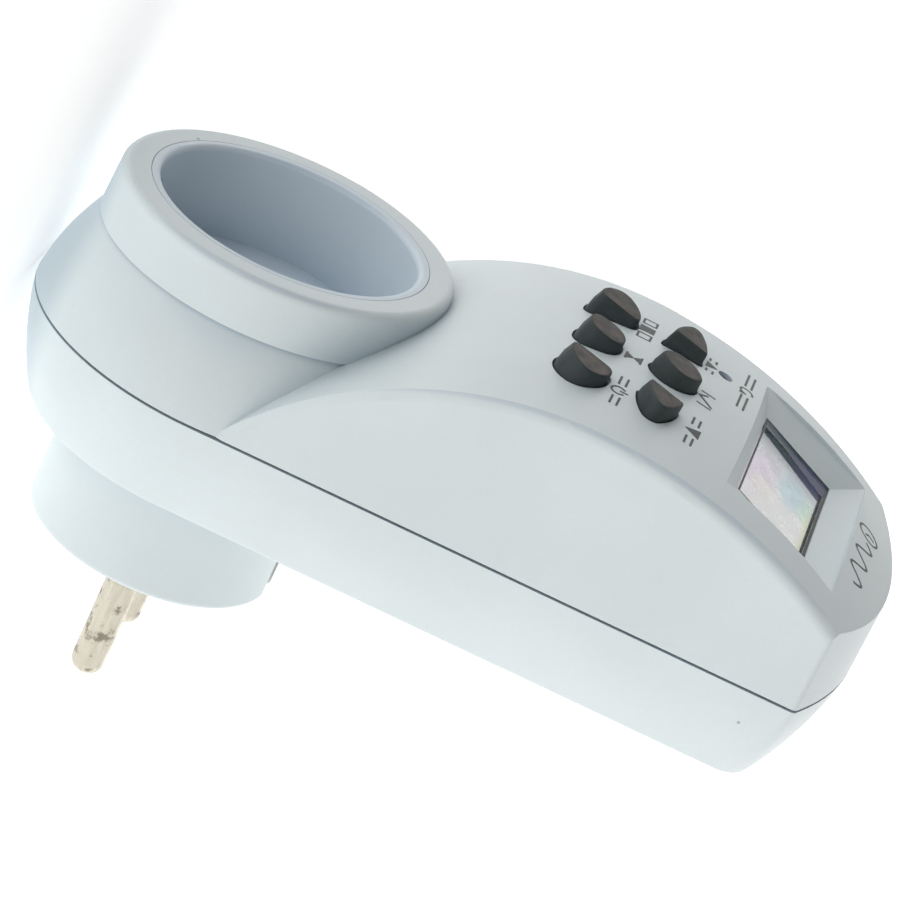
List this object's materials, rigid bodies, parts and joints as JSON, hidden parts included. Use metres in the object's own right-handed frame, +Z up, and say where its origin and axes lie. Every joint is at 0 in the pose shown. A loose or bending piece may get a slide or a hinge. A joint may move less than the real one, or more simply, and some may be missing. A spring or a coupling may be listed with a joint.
{
  "type": "plug-in time switch",
  "caption": "Plug-in mains timer with a round pass-through socket on its front, a pin plug on its back, rubber keys and a sunken display in an arched housing.",
  "frame": {"origin": "on the plug axis, in the flat back that meets the wall", "axes": "+Z up the body towards the display end, -Y out of the wall through the socket, +X to the viewer's right seen from the front"},
  "size_m": [0.0594, 0.0798, 0.1269],
  "materials": {
    "body_plastic": "fine matt, pale bluish white",
    "insert_plastic": "satin, pale blue grey",
    "pin_nickel": "aged nickel over brass",
    "contact_brass": "bright",
    "key_rubber": "matt, rubbed on top",
    "reset_plastic": "matt",
    "board_laminate": "solder mask",
    "relay_case": "moulded",
    "capacitor_box": "moulded",
    "can_sleeve": "shrunk sleeve",
    "varistor_coat": "dipped coat",
    "battery_wrap": "shrunk sleeve",
    "component_black": "moulded",
    "steel": "zinc plated",
    "window_clear": "clear, glossy",
    "display_glass": "reflective display",
    "ribbon_film": "film",
    "label_foil": "satin foil, blank"
  },
  "bodies": {
    "housing": {"front_cover": "body_plastic", "rear_cover": "body_plastic", "socket_insert": "insert_plastic", "plug_block": "insert_plastic", "plug_pin_left": "pin_nickel", "plug_pin_right": "pin_nickel", "main_board": "board_laminate", "control_board": "board_laminate", "relay": "relay_case", "dropper_capacitor": "capacitor_box", "smoothing_capacitor": "can_sleeve", "varistor": "varistor_coat", "fuse_resistor": "varistor_coat", "backup_battery": "battery_wrap", "rectifier_diodes": "component_black", "controller_chip": "component_black", "crystal": "steel", "key_switches": "component_black", "reset_switch": "component_black", "board_screws": "steel", "control_screws": "steel", "case_screws": "steel", "display_window": "window_clear", "display_panel": "display_glass", "display_frame": "component_black", "display_ribbon": "ribbon_film", "board_ribbon": "ribbon_film", "rating_label": "label_foil", "socket_contact_left": "contact_brass", "socket_contact_right": "contact_brass", "socket_earth_clip_upper": "contact_brass", "socket_earth_clip_lower": "contact_brass", "plug_earth_strip_upper": "contact_brass", "plug_earth_strip_lower": "contact_brass", "earth_link": "contact_brass", "neutral_bar": "contact_brass", "live_input_bar": "contact_brass", "live_output_bar": "contact_brass"},
    "key_mode": {"button_mode": "key_rubber"},
    "key_count": {"button_count": "key_rubber"},
    "key_manual": {"button_manual": "key_rubber"},
    "key_up": {"button_up": "key_rubber"},
    "key_set": {"button_set": "key_rubber"},
    "key_down": {"button_down": "key_rubber"},
    "key_reset": {"reset_plunger": "reset_plastic"}
  },
  "joints": [
    {"name": "press_mode", "type": "slide", "parent": "housing", "child": "key_mode", "axis": [0, 0.9744, -0.225], "range_m": [0, 0.0008], "stiffness_N_per_m": 1200, "springref_m": -0.0003},
    {"name": "press_count", "type": "slide", "parent": "housing", "child": "key_count", "axis": [0, 0.9744, -0.225], "range_m": [0, 0.0008], "stiffness_N_per_m": 1200, "springref_m": -0.0003},
    {"name": "press_manual", "type": "slide", "parent": "housing", "child": "key_manual", "axis": [0, 0.9744, -0.225], "range_m": [0, 0.0008], "stiffness_N_per_m": 1200, "springref_m": -0.0003},
    {"name": "press_up", "type": "slide", "parent": "housing", "child": "key_up", "axis": [0, 0.9744, -0.225], "range_m": [0, 0.0008], "stiffness_N_per_m": 1200, "springref_m": -0.0003},
    {"name": "press_set", "type": "slide", "parent": "housing", "child": "key_set", "axis": [0, 0.9744, -0.225], "range_m": [0, 0.0008], "stiffness_N_per_m": 1200, "springref_m": -0.0003},
    {"name": "press_down", "type": "slide", "parent": "housing", "child": "key_down", "axis": [0, 0.9744, -0.225], "range_m": [0, 0.0008], "stiffness_N_per_m": 1200, "springref_m": -0.0003},
    {"name": "press_reset", "type": "slide", "parent": "housing", "child": "key_reset", "axis": [0, 0.9744, -0.225], "range_m": [0, 0.0005], "stiffness_N_per_m": 1500, "springref_m": -0.0003}
  ]
}
